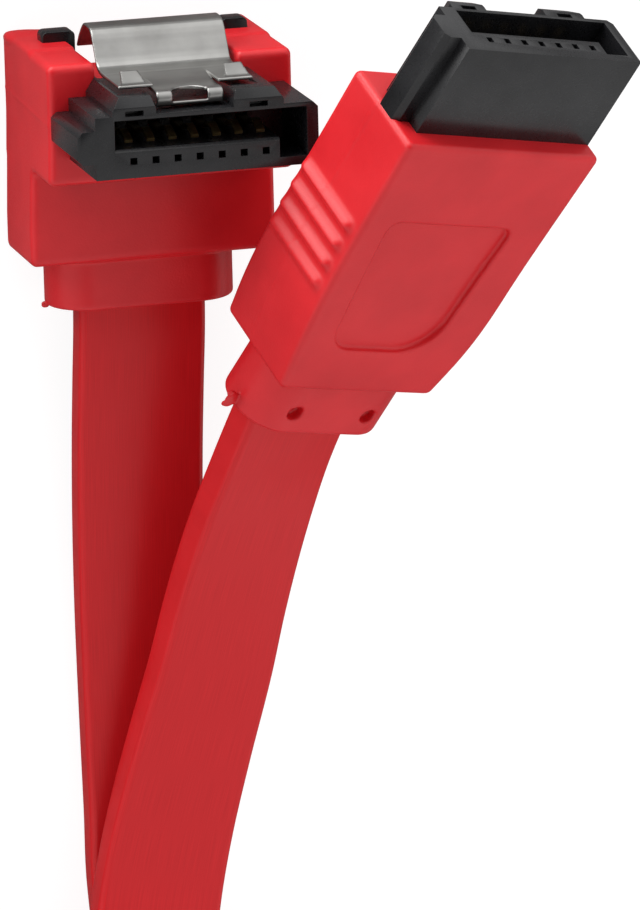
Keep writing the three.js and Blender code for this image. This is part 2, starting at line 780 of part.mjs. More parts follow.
const angled = new THREE.Group();
angled.position.z = angledDepth;
angled.add(toMesh('angled_housing', makeHousing(housingExposed).subtract(latchRelief()), blackPlastic));
addContacts(angled, 'angled');
angled.add(toMesh('angled_inner_mould', angledInner(0).subtract(tailPocket()), blackPlastic));
angled.add(toMesh('angled_overmould', makeAngledOvermould(), redPlastic));
angled.add(toMesh('angled_latch_spring', makeLatch(), springSteel));
addCores(angled, 'angled', angledInnerBottom, angledCollarEnd + jacketInAngled,
  new THREE.Matrix4().makeTranslation(angledCableOffset, 0, -strandDepth));
assembly.add(angled);

const straight = new THREE.Group();
straight.position.set(...straightPlace);
straight.rotation.set(...straightTurn.map(THREE.MathUtils.degToRad), 'XYZ');
straight.add(toMesh('straight_housing', makeHousing(straightRim), blackPlastic));
addContacts(straight, 'straight');
straight.add(toMesh('straight_inner_mould', straightInner(0).subtract(tailPocket()), blackPlastic));
straight.add(toMesh('straight_overmould', makeStraightOvermould(), redPlastic));
addCores(straight, 'straight', -straightInnerBack, -straightEnd + jacketInStraight,
  new THREE.Matrix4().makeTranslation(straightCableOffset, straightCentre, 0)
    .multiply(new THREE.Matrix4().makeRotationX(halfPi)));
assembly.add(straight);

assembly.add(makeStrand('cable_from_angled', angledStrand, 34));
assembly.add(makeStrand('cable_from_straight', straightStrand, 44));
assembly.add(toMesh('cable_coil', makeCoil(), redJacket));
assembly.add(toMesh('cable_tie', makeTie(), tieBlack));

export default assembly;
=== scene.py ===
"""A flat red disk data cable with a latching right-angle connector and a straight one.

Every measure below is in millimetres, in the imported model's own frame, unless its name says
otherwise. Each connector is shaped in its own axes: u along its contacts, v towards its latch
side and w out of its mouth.
"""
import json
import math

import bpy
import bmesh
import numpy as np
from mathutils import Matrix, Vector


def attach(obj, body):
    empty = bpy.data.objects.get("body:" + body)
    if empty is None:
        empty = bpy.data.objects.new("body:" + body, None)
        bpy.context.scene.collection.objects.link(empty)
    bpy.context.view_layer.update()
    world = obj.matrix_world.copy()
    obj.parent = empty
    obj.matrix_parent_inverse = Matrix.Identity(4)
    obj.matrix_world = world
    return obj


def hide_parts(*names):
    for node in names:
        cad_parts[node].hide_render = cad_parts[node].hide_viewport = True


MM = 0.001
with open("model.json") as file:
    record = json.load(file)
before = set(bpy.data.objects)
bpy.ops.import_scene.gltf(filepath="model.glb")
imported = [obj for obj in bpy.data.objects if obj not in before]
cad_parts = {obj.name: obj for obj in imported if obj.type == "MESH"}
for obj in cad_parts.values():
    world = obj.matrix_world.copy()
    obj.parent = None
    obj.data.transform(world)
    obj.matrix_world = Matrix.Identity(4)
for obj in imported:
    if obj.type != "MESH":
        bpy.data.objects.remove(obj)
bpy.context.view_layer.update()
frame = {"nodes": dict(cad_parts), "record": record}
set_body = "cable_set"
latch_body = "latch"

# Photograph's eye
photo_width = 640
camera_place = (-109.57, 93.8, 438.18)
camera_back = (-0.2572, 0.2473, 0.9342)
camera_up = (0.09, 0.9686, -0.2316)
camera_focal_pixels = 8000
camera_film = 36

# Stage and light, with places and sizes in metres
light_aim = (0.004, -0.01, 0.01)
light_distance = 0.75
opening_distance = 0.52
opening_size = 0.5
board_size = 0.3
board_place = (0, -0.12, -0.0005)
surround_strength = 0.98
paper_glow = 0.88

# Connector sizes that several pieces share
mouth_height = 16.7
angled_rim = 6.1
overmould_half = 7.1
overmould_thickness = 6.2
collar_half = 5.15
collar_half_thickness = 2.55
collar_round = 2.45
collar_end_edge = 0.22
collar_root_fillet = 0.18
collar_root_overlap = 1
seam_gap = 0.2
straight_place = (17.65, 6.4, 24.3)
straight_turn = (-62.1, 22.35, 14.8)

# Right-angle overmould
angled_top = 4.45
angled_step = -2.5
angled_bottom = -8.1
angled_side_swell = 0.02
angled_foot_swell = 0.2
angled_foot_reach = 6
angled_upper_edge = 0.45
angled_lower_edge = 0.5
angled_side_edge = 0.38
angled_inner_fillet = 0.35
angled_flash_level = 0.8
angled_flash_slope = 0.03
angled_flash_half = 0.09
angled_flash_height = 0.035
angled_collar_spread = 0.35
channel_left = -4.38
channel_right = 3.93
channel_floor = 2.3
channel_edge = 0.22
angled_cable_offset = -0.35
angled_collar_end = -11.0
angled_hump = ((-6.2, angled_top - 0.1, -15.7), (1.0, 0.3, 0.9))
angled_hump_fillet = 0.25
angled_burr_place = (-5.9, -10.95)
angled_burr_radii = (0.26, 0.2, 0.12)
angled_burr_fillet = 0.06

# Straight overmould
straight_rim = 6.4
straight_rim_rise = 0.25
straight_face = -1.8
straight_face_swell = 0.34
straight_middle_swell = 0.2
straight_swell_centre = 14
straight_swell_reach = 4
straight_bend_ease = 0.5
straight_end_edge = 0.4
straight_face_edge = 0.36
straight_flash_level = 1.7
straight_flash_half = 0.08
straight_flash_height = 0.03
straight_shoulder = 13.5
straight_taper = 0.55
straight_tail_half = 5.6
straight_length = 17.9
straight_collar_length = 3.9
straight_collar_centre = 1.0
straight_cable_offset = 0.15
grip_count = 4
grip_pitch = 1.38
grip_first = 6.55
grip_proud = 0.42
grip_half_width = 0.36
grip_front_margin = 0.75
grip_back_margin = 0.3
grip_fade = 0.2
panel_top = 5.3
panel_length = 9.4
panel_offset = -0.4
panel_top_half = 4.6
panel_tail_half = 3.7
panel_depth = 0.4
panel_top_round = 0.9
panel_left_round = 1.6
panel_right_round = 2.5
panel_floor_fillet = 0.14
panel_lip = 0.12
dimple_radius = 0.5
dimple_half_spread = 2.7
dimple_from_end = 1.5
dimple_depth = 0.65
dimple_floor_fillet = 0.15
dimple_lip = 0.12
straight_burrs = [
    ((-5.3, 0.75, -27.75), (0.45, 0.16, 0.5)),
    ((-5.6, 0.7, -27.3), (0.3, 0.14, 0.22)),
    ((-5.45, 0.8, -28.15), (0.34, 0.15, 0.2)),
]
straight_burr_fillet = 0.05

# Latch spring, whose lines are points of height v and depth w
sheet_thickness = 0.2
latch_left = -4.1
latch_right = 3.65
tongue_left = -2.15
tongue_right = 1.7
plate_height = 3.82
plate_line = [(plate_height, -1.95), (plate_height, -5.4)]
barb_line = [(plate_height, -2.2), (4.38, -3.35)]
barb_centres = (-3.12, 2.87)
barb_half = 0.72
barb_narrowing = 0.2
arch_points = [
    (plate_height, -5.1), (plate_height, -5.7), (4.02, -6.7), (4.94, -7.4), (5.86, -8.1),
    (6.04, -8.9), (5.96, -9.7), (5.13, -10.8), (4.54, -11.3),
]
tongue_points = [
    (2.8, -2.35), (2.8, -1.41), (2.88, -1.12), (3.16, -0.99), (3.44, -1.12),
    (3.52, -1.38), (3.52, -2.6), (3.67, -3.9), (plate_height, -5.1), (plate_height, -5.4),
]
prong_gap_half = 1.02
prong_gap_floor = 2.99
prong_gap_depth = -1.0
curl_depth = -1.35
latch_edge = 0.06
latch_line_steps = 4

# The room that each field's skin lies in, as a low and a high corner, and the grids' steps
angled_room = ((-7.6, -11.6, -17.1), (7.6, 5.2, -5.7))
straight_room = ((-7.9, -2.8, -28.8), (7.9, 4.8, -5.8))
latch_room = ((-4.3, 2.5, -11.6), (3.85, 6.35, -0.7))
overmould_step = 0.13
latch_step = 0.08
skin_slides = 4
least_steepness = 0.2

# Easing of the carried black pieces
mouth_bevel = 0.1
tab_bevel = 0.16
weld_reach = 0.002
flat_degrees = 1.5
sharp_degrees = 32
seam_inset = 0.6
seam_reach = 0.02
seam_sink = 0.05

# Cable
cable_width = 7.5
cable_thickness = 2.1
cable_round = 0.42
cable_line_steps = 6
cable_corner_steps = 6
coil_outer_radius = 30.5
coil_pitch = 3.0
coil_centre_y = -106.0
coil_first_degrees = 33.7
coil_last_degrees = -536.0
coil_step_degrees = 15.0
coil_ease_degrees = 62.0
coil_ease_in = 3.1
on_edge_height = 3.7
tie_width = 3.0
tie_thickness = 0.6
tie_gap = 0.3
tie_slack = 0.6
tie_lift = 0.72
tie_lift_reach = 9.0
tie_degrees = -90
tie_turns = 1.5
tie_corner = 0.95
tie_corner_steps = 8
strap_edge = 0.2
strap_edge_steps = 4

# Route of the right-angle connector's strand: x, y, z and the ribbon's tilt in degrees
angled_strand = [
    (-0.35, -6.5, 3.1, 0),
    (-0.35, -9, 3.1, 0),
    (-0.38, -12.5, 3.07, 0),
    (-0.48, -16, 2.8, 0),
    (-0.5, -20, 2.2, 0),
    (-0.48, -25, 1.6, 0),
    (-0.43, -30, 1.25, 0),
    (-0.34, -36, 1.12, 0),
    (-0.24, -42, 1.1, 0),
    (-0.18, -47, 1.15, 1),
    (0.4, -51.6, 1.5, 6),
    (2.7, -55.9, 2.16, 18),
    (6.3, -60.7, 3.1, 38),
    (9.9, -65.9, 3.68, 58),
    (13.3, -71, 3.83, 75),
    (16.4, -75.6, 3.75, 85),
    (18, -78, 3.72, 88),
]

# Route of the straight connector's strand, from its jacket's end to the inside of the coil
straight_strand = [
    (9.87, -9.28, 14.53, -26.2),
    (8.92, -11.32, 13.45, -26.2),
    (7.78, -13.77, 12.15, -26.2),
    (6.67, -16.14, 10.9, -26.2),
    (5.9, -18.62, 9.68, -25),
    (5.07, -22.2, 7.88, -22),
    (4.31, -25.5, 6.7, -19),
    (3.52, -29.2, 5.7, -16),
    (2.75, -33, 4.98, -13),
    (1.5, -37.8, 4.35, -9),
    (0.35, -42.5, 3.85, -5),
    (-0.45, -46.5, 3.65, -2),
    (-1.15, -50.6, 4.0, 0),
    (-2.1, -55, 4.55, 0),
    (-3.6, -60, 5.35, 0),
    (-5.4, -64.7, 6.3, 0),
    (-7.3, -69, 7.7, 0),
    (-9.1, -72.9, 8.65, 0),
    (-10.9, -77, 9.0, 0),
    (-12.7, -81.1, 9.05, 0),
    (-14.5, -85.2, 9.05, -4),
    (-16.2, -89.2, 8.8, -15),
    (-17.9, -93.2, 7.9, -34),
    (-19.6, -97.2, 6.5, -56),
    (-21.2, -101, 5.1, -75),
    (-22.4, -104.9, 4.0, -87),
]


def make_camera():
    """The camera stands where the photograph's stood, with the same field of view."""
    data = bpy.data.cameras.new("photo_eye")
    data.sensor_fit = "HORIZONTAL"
    data.sensor_width = camera_film
    data.lens = camera_focal_pixels / photo_width * camera_film
    data.clip_start = 0.01
    data.clip_end = 20
    camera = bpy.data.objects.new("photo_eye", data)
    back = Vector(camera_back).normalized()
    right = Vector(camera_up).cross(back).normalized()
    up = back.cross(right)
    turn = Matrix((right, up, back)).transposed().to_4x4()
    camera.matrix_world = Matrix.Translation(Vector(camera_place) * MM) @ turn
    bpy.context.scene.collection.objects.link(camera)
    bpy.context.scene.camera = camera
    return right, up, back


def area_light(name, place, size, watts):
    """A square soft light at a place in metres, aimed at the connectors."""
    data = bpy.data.lights.new(name, "AREA")
    data.size = size
    data.energy = watts
    light = bpy.data.objects.new(name, data)
    aim = Vector(light_aim)
    light.location = place
    light.rotation_euler = (Vector(place) - aim).to_track_quat("Z", "Y").to_euler()
    bpy.context.scene.collection.objects.link(light)


def make_stage(right, up, back):
    """A plain pale floor at the table's height, a white tent of light, and the dark opening that
    the photograph was taken through.

    Only the camera sees the floor. A grey board just under it takes its place for reflected light.
    """
    bpy.ops.mesh.primitive_plane_add(size=6, location=(0, 0, 0))
    floor = bpy.context.object
    floor.name = "pale_floor"
    floor.data.materials.append(plain_paper())
    floor.visible_diffuse = False
    floor.visible_glossy = False
    floor.visible_shadow = False
    bpy.ops.mesh.primitive_plane_add(size=board_size, location=board_place)
    underlay = bpy.context.object
    underlay.name = "grey_underlay"
    underlay.data.materials.append(new_material("underlay_board", (0.3, 0.3, 0.3), 0.9)[0])
    world = bpy.data.worlds.new("white_surround")
    world.use_nodes = True
    world.node_tree.nodes["Background"].inputs["Color"].default_value = (1, 1, 1, 1)
    world.node_tree.nodes["Background"].inputs["Strength"].default_value = surround_strength
    bpy.context.scene.world = world
    lamps = [
        ("top_strip", back * 0.28 - right * 0.35 + up * 0.9, 0.4, 3.2),
        ("left_strip", back * 0.32 - right * 0.8 + up * 0.5, 0.4, 2.1),
        ("high_tent", back * 0.3 + up * 0.95 + right * 0.25, 1.0, 2.0),
    ]
    for name, away, size, watts in lamps:
        area_light(name, away * light_distance, size, watts)
    bpy.ops.mesh.primitive_plane_add(size=opening_size)
    opening = bpy.context.object
    opening.name = "dark_opening"
    facing = back.to_track_quat("Z", "Y").to_matrix().to_4x4()
    opening.matrix_world = Matrix.Translation(back * opening_distance) @ facing
    opening.data.materials.append(new_material("opening_cloth", (0.02, 0.02, 0.02), 0.9)[0])
    bpy.context.scene.view_settings.view_transform = "Standard"


# Materials


def new_material(name, colour, roughness, metallic=0.0):
    """A named material with its Principled shader, which it returns with its node tree."""
    material = bpy.data.materials.new(name)
    material.use_nodes = True
    shader = material.node_tree.nodes["Principled BSDF"]
    shader.inputs["Base Color"].default_value = (*colour, 1)
    shader.inputs["Roughness"].default_value = roughness
    shader.inputs["Metallic"].default_value = metallic
    return material, material.node_tree, shader


def noise(tree, scale, detail=3.0, roughness=0.5, stretch=(1, 1, 1)):
    """Noise over Object coordinates, its pattern stretched along the axes."""
    place = tree.nodes.new("ShaderNodeTexCoord")
    mapping = tree.nodes.new("ShaderNodeMapping")
    mapping.inputs["Scale"].default_value = stretch
    texture = tree.nodes.new("ShaderNodeTexNoise")
    texture.inputs["Scale"].default_value = scale
    texture.inputs["Detail"].default_value = detail
    texture.inputs["Roughness"].default_value = roughness
    tree.links.new(place.outputs["Object"], mapping.inputs["Vector"])
    tree.links.new(mapping.outputs["Vector"], texture.inputs["Vector"])
    return texture.outputs["Fac"]


def tint(tree, factor, low, high, socket):
    """A colour between two tints, by a factor, into a socket."""
    ramp = tree.nodes.new("ShaderNodeValToRGB")
    ramp.color_ramp.elements[0].position = 0.3
    ramp.color_ramp.elements[1].position = 0.7
    ramp.color_ramp.elements[0].color = (*low, 1)
    ramp.color_ramp.elements[1].color = (*high, 1)
    tree.links.new(factor, ramp.inputs["Fac"])
    tree.links.new(ramp.outputs["Color"], socket)


def spread(tree, factor, low, high, socket):
    """A number between two values, by a factor, into a socket."""
    span = tree.nodes.new("ShaderNodeMapRange")
    span.inputs["To Min"].default_value = low
    span.inputs["To Max"].default_value = high
    tree.links.new(factor, span.inputs["Value"])
    tree.links.new(span.outputs["Result"], socket)


def relief(tree, shader, factor, depth_mm):
    """Bump of a height field, its depth in millimetres."""
    bump = tree.nodes.new("ShaderNodeBump")
    bump.inputs["Strength"].default_value = 1.0
    bump.inputs["Distance"].default_value = depth_mm * MM
    tree.links.new(factor, bump.inputs["Height"])
    tree.links.new(bump.outputs["Normal"], shader.inputs["Normal"])


def plain_paper():
    """White backdrop paper."""
    material, _, shader = new_material("backdrop_paper", (0.22, 0.22, 0.22), 0.9)
    shader.inputs["Emission Color"].default_value = (1, 1, 1, 1)
    shader.inputs["Emission Strength"].default_value = paper_glow
    return material


def moulded_red():
    """Soft red overmould: satin, faint spark texture, slight cloudiness in the colour."""
    material, tree, shader = new_material("moulded_red", (0.66, 0.014, 0.02), 0.37)
    cloud = noise(tree, 260, 4)
    tint(tree, cloud, (0.61, 0.011, 0.017), (0.71, 0.017, 0.024), shader.inputs["Base Color"])
    grain = noise(tree, 9000, 2)
    spread(tree, grain, 0.3, 0.44, shader.inputs["Roughness"])
    relief(tree, shader, grain, 0.01)
    shader.inputs["Specular IOR Level"].default_value = 0.36
    shader.inputs["Subsurface Weight"].default_value = 0.06
    shader.inputs["Subsurface Radius"].default_value = (0.0016, 0.0003, 0.0002)
    return material


def ribbon_red():
    """Extruded red jacket: glossier, drawn lines along the ribbon from its own map."""
    material, tree, shader = new_material("ribbon_red", (0.62, 0.01, 0.015), 0.34)
    place = tree.nodes.new("ShaderNodeUVMap")
    place.uv_map = "ribbon"
    mapping = tree.nodes.new("ShaderNodeMapping")
    mapping.inputs["Scale"].default_value = (1.0, 90.0, 1.0)
    lines = tree.nodes.new("ShaderNodeTexNoise")
    lines.inputs["Scale"].default_value = 2.2
    lines.inputs["Detail"].default_value = 3
    tree.links.new(place.outputs["UV"], mapping.inputs["Vector"])
    tree.links.new(mapping.outputs["Vector"], lines.inputs["Vector"])
    tint(tree, lines.outputs["Fac"], (0.57, 0.008, 0.012), (0.67, 0.013, 0.018),
         shader.inputs["Base Color"])
    mottle = noise(tree, 700, 3)
    spread(tree, mottle, 0.27, 0.4, shader.inputs["Roughness"])
    relief(tree, shader, mottle, 0.004)
    shader.inputs["Specular IOR Level"].default_value = 0.26
    shader.inputs["Subsurface Weight"].default_value = 0.05
    shader.inputs["Subsurface Radius"].default_value = (0.0014, 0.0003, 0.0002)
    return material


def housing_black():
    """Black glass-filled plastic: satin, with fine flow marks and paler scuffs."""
    material, tree, shader = new_material("housing_black", (0.007, 0.007, 0.008), 0.34)
    flow = noise(tree, 500, 5, 0.6, (1, 1, 0.2))
    tint(tree, flow, (0.004, 0.004, 0.005), (0.012, 0.012, 0.0135), shader.inputs["Base Color"])
    grain = noise(tree, 6000, 2)
    spread(tree, grain, 0.22, 0.36, shader.inputs["Roughness"])
    relief(tree, shader, grain, 0.002)
    shader.inputs["Specular IOR Level"].default_value = 0.4
    return material


def spring_steel():
    """Rolled stainless strip: fine brushing across the strip and slight stains."""
    material, tree, shader = new_material("spring_steel", (0.3, 0.296, 0.285), 0.34, 1.0)
    stain = noise(tree, 420, 4)
    tint(tree, stain, (0.25, 0.247, 0.238), (0.35, 0.346, 0.334), shader.inputs["Base Color"])
    brushing = noise(tree, 900, 3, 0.6, (0.12, 6, 6))
    spread(tree, brushing, 0.3, 0.4, shader.inputs["Roughness"])
    relief(tree, shader, brushing, 0.0008)
    return material


def shade_darkened_gold():
    """Gold-plated contact, its gold darkened throughout as painted shade for the dark mouth it sits in,
    with slight unevenness in the plating.
    """
    material, tree, shader = new_material("shade_darkened_gold", (0.34, 0.24, 0.1), 0.4, 1.0)
    plating = noise(tree, 2500, 3)
    tint(tree, plating, (0.28, 0.2, 0.08), (0.4, 0.29, 0.13), shader.inputs["Base Color"])
    spread(tree, plating, 0.35, 0.5, shader.inputs["Roughness"])
    return material


def bare_copper():
    """Tinned copper drain wire, a little dulled."""
    material, tree, shader = new_material("bare_copper", (0.72, 0.45, 0.3), 0.35, 1.0)
    dulling = noise(tree, 1800, 3)
    tint(tree, dulling, (0.6, 0.36, 0.24), (0.78, 0.5, 0.34), shader.inputs["Base Color"])
    spread(tree, dulling, 0.28, 0.5, shader.inputs["Roughness"])
    return material


def core_white():
    """Foamed white core insulation."""
    material, tree, shader = new_material("core_white", (0.82, 0.81, 0.78), 0.5)
    foam = noise(tree, 3000, 3)
    tint(tree, foam, (0.76, 0.75, 0.72), (0.85, 0.84, 0.81), shader.inputs["Base Color"])
    relief(tree, shader, foam, 0.004)
    return material


def tie_black():
    """Plain black tie with a faint pebbled skin."""
    material, tree, shader = new_material("tie_black", (0.02, 0.02, 0.022), 0.5)
    pebble = noise(tree, 4000, 3)
    tint(tree, pebble, (0.014, 0.014, 0.016), (0.03, 0.03, 0.032), shader.inputs["Base Color"])
    relief(tree, shader, pebble, 0.01)
    return material


# Meshes from arrays


def turn_of(turn_degrees):
    """The turn of a connector's axes: the turns about x, y and z, multiplied in that order."""
    turn = Matrix.Identity(3)
    for degrees, axis in zip(turn_degrees, "XYZ"):
        turn = turn @ Matrix.Rotation(math.radians(degrees), 3, axis)
    return turn


def own_axes(turn_degrees, place):
    """The matrix from the model's frame, in metres, to a connector's own axes."""
    return (Matrix.Translation(Vector(place) * MM) @ turn_of(turn_degrees).to_4x4()).inverted()


def place_straight(points):
    """Points in the straight connector's axes, turned and moved to its place."""
    return points @ np.array(turn_of(straight_turn)).T + np.array(straight_place)


def place_angled(points):
    """Points in the right-angle connector's axes, raised so that its back lies on the table."""
    return points + np.array((0, 0, mouth_height))


def mesh_object(name, points, faces, material, body):
    """An object at the origin from points in millimetres and faces as rows of indices."""
    mesh = bpy.data.meshes.new(name)
    mesh.from_pydata((points * MM).tolist(), [], faces if isinstance(faces, list) else faces.tolist())
    mesh.update()
    mesh.polygons.foreach_set("use_smooth", np.full(len(mesh.polygons), True))
    mesh.materials.append(material)
    thing = bpy.data.objects.new(name, mesh)
    bpy.context.scene.collection.objects.link(thing)
    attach(thing, body)
    return thing


def grid_faces(rows, columns, wrap):
    """Quads of a grid of points, row by row, closed round its columns where wrap is true."""
    across = columns if wrap else columns - 1
    i, j = np.meshgrid(np.arange(rows - 1), np.arange(across), indexing="ij")
    k = (j + 1) % columns
    quads = np.stack([i * columns + j, i * columns + k, (i + 1) * columns + k, (i + 1) * columns + j])
    return quads.reshape(4, -1).T


def smooth_line(points, per_span):
    """A centripetal Catmull-Rom line through rows of numbers, whose first three are a place.

    Between two rows the line is the usual blend of four neighbours, with knots spaced by the
    square root of the distance between places. The other columns run straight between rows.
    """
    rows = np.asarray(points, float)
    place = rows[:, :3]
    place = np.vstack([2 * place[0] - place[1], place, 2 * place[-1] - place[-2]])
    gaps = np.sqrt(np.linalg.norm(np.diff(place, axis=0), axis=1))
    share = np.arange(per_span)[None, :, None] / per_span
    p0, p1, p2, p3 = (place[k:len(place) - 3 + k, None, :] for k in range(4))
    g0, g1, g2 = (gaps[k:len(gaps) - 2 + k, None, None] for k in range(3))
    first = ((p1 - p0) / g0 - (p2 - p0) / (g0 + g1) + (p2 - p1) / g1) * g1
    last = ((p2 - p1) / g1 - (p3 - p1) / (g1 + g2) + (p3 - p2) / g2) * g1
    line = (p1 + first * share + (3 * (p2 - p1) - 2 * first - last) * share**2
            + (2 * (p1 - p2) + first + last) * share**3)
    extra = rows[:-1, None, 3:] * (1 - share) + rows[1:, None, 3:] * share
    table = np.concatenate([line, extra], axis=2).reshape(-1, rows.shape[1])
    return np.vstack([table, rows[-1]])


def coil_route():
    """The coil's turns on edge: a spiral, clockwise from above, that closes in by one pitch a
    turn and a little more before its end, and rises over the tie on its way."""
    degrees = np.arange(coil_first_degrees, coil_last_degrees, -coil_step_degrees)
    turned = coil_first_degrees - degrees
    ease = np.clip((coil_last_degrees + coil_ease_degrees - degrees) / coil_ease_degrees, 0, 1)
    ease = ease**2 * (3 - 2 * ease)
    radius = coil_outer_radius - coil_pitch * turned / 360 - coil_ease_in * ease
    angle = np.radians(degrees)
    from_tie = np.abs((degrees - tie_degrees + 180) % 360 - 180) * np.radians(1) * radius
    lift = tie_lift * np.exp(-(from_tie / tie_lift_reach)**2)
    return np.stack([radius * np.cos(angle), coil_centre_y + radius * np.sin(angle),
                     on_edge_height + lift, np.full(len(degrees), 90.0)], axis=1)


def ribbon_profile(width, thickness, radius, arc_steps):
    """A rounded rectangle: quarter circles at the corners, with flats between, anticlockwise."""
    turn = np.linspace(0, np.pi / 2, arc_steps)
    corners = np.array([(1, 1), (-1, 1), (-1, -1), (1, -1)])
    inner = np.array([width / 2 - radius, thickness / 2 - radius])
    arcs = []
    for quarter, corner in enumerate(corners):
        angle = turn + quarter * np.pi / 2
        arcs.append(corner * inner + radius * np.stack([np.cos(angle), np.sin(angle)], axis=1))
    return np.vstack(arcs)


def carried(profile, line, side, other):
    """The profile carried along a line: line + side times the profile's x + other times its y."""
    return (line[:, None, :] + side[:, None, :] * profile[None, :, :1]
            + other[:, None, :] * profile[None, :, 1:])


def make_cable(material):
    """The flat ribbon, one mesh: its rounded section carried along both strands and the coil.

    The section's width points along a level line square to the route, turned by the tilt.
    """
    back_again = [(x, y, z, -tilt) for x, y, z, tilt in reversed(straight_strand)]
    route = np.vstack([np.array(angled_strand, float), coil_route(), np.array(back_again, float)])
    table = smooth_line(route, cable_line_steps)
    line = table[:, :3]
    along = np.gradient(line, axis=0)
    along /= np.linalg.norm(along, axis=1)[:, None]
    level = np.stack([-along[:, 1], along[:, 0], np.zeros(len(along))], axis=1)
    level /= np.linalg.norm(level, axis=1)[:, None]
    tilt = np.radians(table[:, 3])[:, None]
    side = level * np.cos(tilt) + np.cross(along, level) * np.sin(tilt)
    other = np.cross(along, side)
    profile = ribbon_profile(cable_width, cable_thickness, cable_round, cable_corner_steps)
    points = carried(profile, line, side, other)
    rows, columns = points.shape[:2]
    faces = grid_faces(rows, columns, True).tolist()
    faces.append(list(range(columns))[::-1])
    faces.append(list(range((rows - 1) * columns, rows * columns)))
    cable = mesh_object("ribbon_cable", points.reshape(-1, 3), faces, material, set_body)
    travelled = np.concatenate([[0], np.cumsum(np.linalg.norm(np.diff(line, axis=0), axis=1))])
    layer = cable.data.uv_layers.new(name="ribbon")
    corner = np.zeros(len(cable.data.loops), int)
    cable.data.loops.foreach_get("vertex_index", corner)
    across = np.tile(profile[:, 0], rows)
    lengthwise = np.repeat(travelled, columns)
    pairs = np.stack([lengthwise[corner], across[corner]], axis=1) / cable_width
    layer.data.foreach_set("uv", pairs.ravel())
    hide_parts("cable_from_angled", "cable_from_straight", "cable_coil")
    return cable, line


def make_tie(material):
    """The tie: a flat rounded strap section carried round a rounded rectangle in the y-z plane."""
    inner = coil_outer_radius - coil_pitch * tie_turns - cable_thickness / 2 - tie_gap
    outer = coil_outer_radius + cable_thickness / 2 + tie_gap
    top = cable_width + tie_thickness + tie_gap + tie_slack
    loop = ribbon_profile(outer - inner + tie_thickness, top, tie_corner, tie_corner_steps)
    centre = np.array([coil_centre_y - (inner + outer) / 2, (top + tie_thickness) / 2])
    line = np.stack([np.zeros(len(loop)), loop[:, 0] + centre[0], loop[:, 1] + centre[1]], axis=1)
    along = np.roll(line, -1, axis=0) - np.roll(line, 1, axis=0)
    along /= np.linalg.norm(along, axis=1)[:, None]
    side = np.tile([1.0, 0.0, 0.0], (len(line), 1))
    strap = ribbon_profile(tie_width, tie_thickness, strap_edge, strap_edge_steps)
    points = carried(strap, line, side, np.cross(along, side))
    rows, columns = points.shape[:2]
    faces = grid_faces(rows + 1, columns, True) % (rows * columns)
    tie = mesh_object("cable_strap", points.reshape(-1, 3), faces, material, set_body)
    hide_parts("cable_tie")
    return tie


# Solids given by a field of distances, below zero inside


def slab(x, low, high):
    """Distance to the space between two parallel planes."""
    return np.maximum(low - x, x - high)


def met(a, b, r):
    """The meeting of two fields, the edge between them turned to an arc of radius r.

    Where both are above -r the value is sqrt((a + r)^2 + (b + r)^2) - r. Elsewhere it is the
    larger of the two.
    """
    return np.minimum(np.maximum(a, b), -r) + np.hypot(np.maximum(a + r, 0), np.maximum(b + r, 0))


def joined(a, b, r):
    """Two fields as one solid, with a fillet of radius r in the corner between them."""
    return -met(-a, -b, r)


def less(a, b, r):
    """The first field without the second, its new edge rounded by r."""
    return met(a, -b, r)


def eased_max(a, b, k):
    """The larger of two nearly parallel fields, with the bend between them softened over k.

    Where they differ by less than k, (k - |a - b|)^2 / 4k is added.
    """
    return np.maximum(a, b) + np.maximum(k - np.abs(a - b), 0)**2 / (4 * k)


def oval(a, b):
    """The collar's section: a rectangle with its corners rounded almost to half circles.

    x and y are measured outwards from the corner arcs' centres. Where both are above zero the
    distance is sqrt(x^2 + y^2) less the round, and elsewhere the larger of them less the round.
    """
    x = np.abs(a) - (collar_half - collar_round)
    y = np.abs(b) - (collar_half_thickness - collar_round)
    return np.hypot(np.maximum(x, 0), np.maximum(y, 0)) + np.minimum(np.maximum(x, y), 0) - collar_round


def blob(u, v, w, centre, radii):
    """An ellipsoid, as the scaled distance from its centre less one, times its least radius."""
    scaled = [(x - c) / r for x, c, r in zip((u, v, w), centre, radii)]
    return (np.sqrt(sum(x**2 for x in scaled)) - 1) * min(radii)


def slope_of(field, points, reach=0.01):
    """The field's gradient at points, by central differences."""
    parts = []
    for axis in range(3):
        offset = np.zeros(3)
        offset[axis] = reach
        ahead = field(*(points + offset).T)
        behind = field(*(points - offset).T)
        parts.append((ahead - behind) / (2 * reach))
    return np.stack(parts, axis=1)


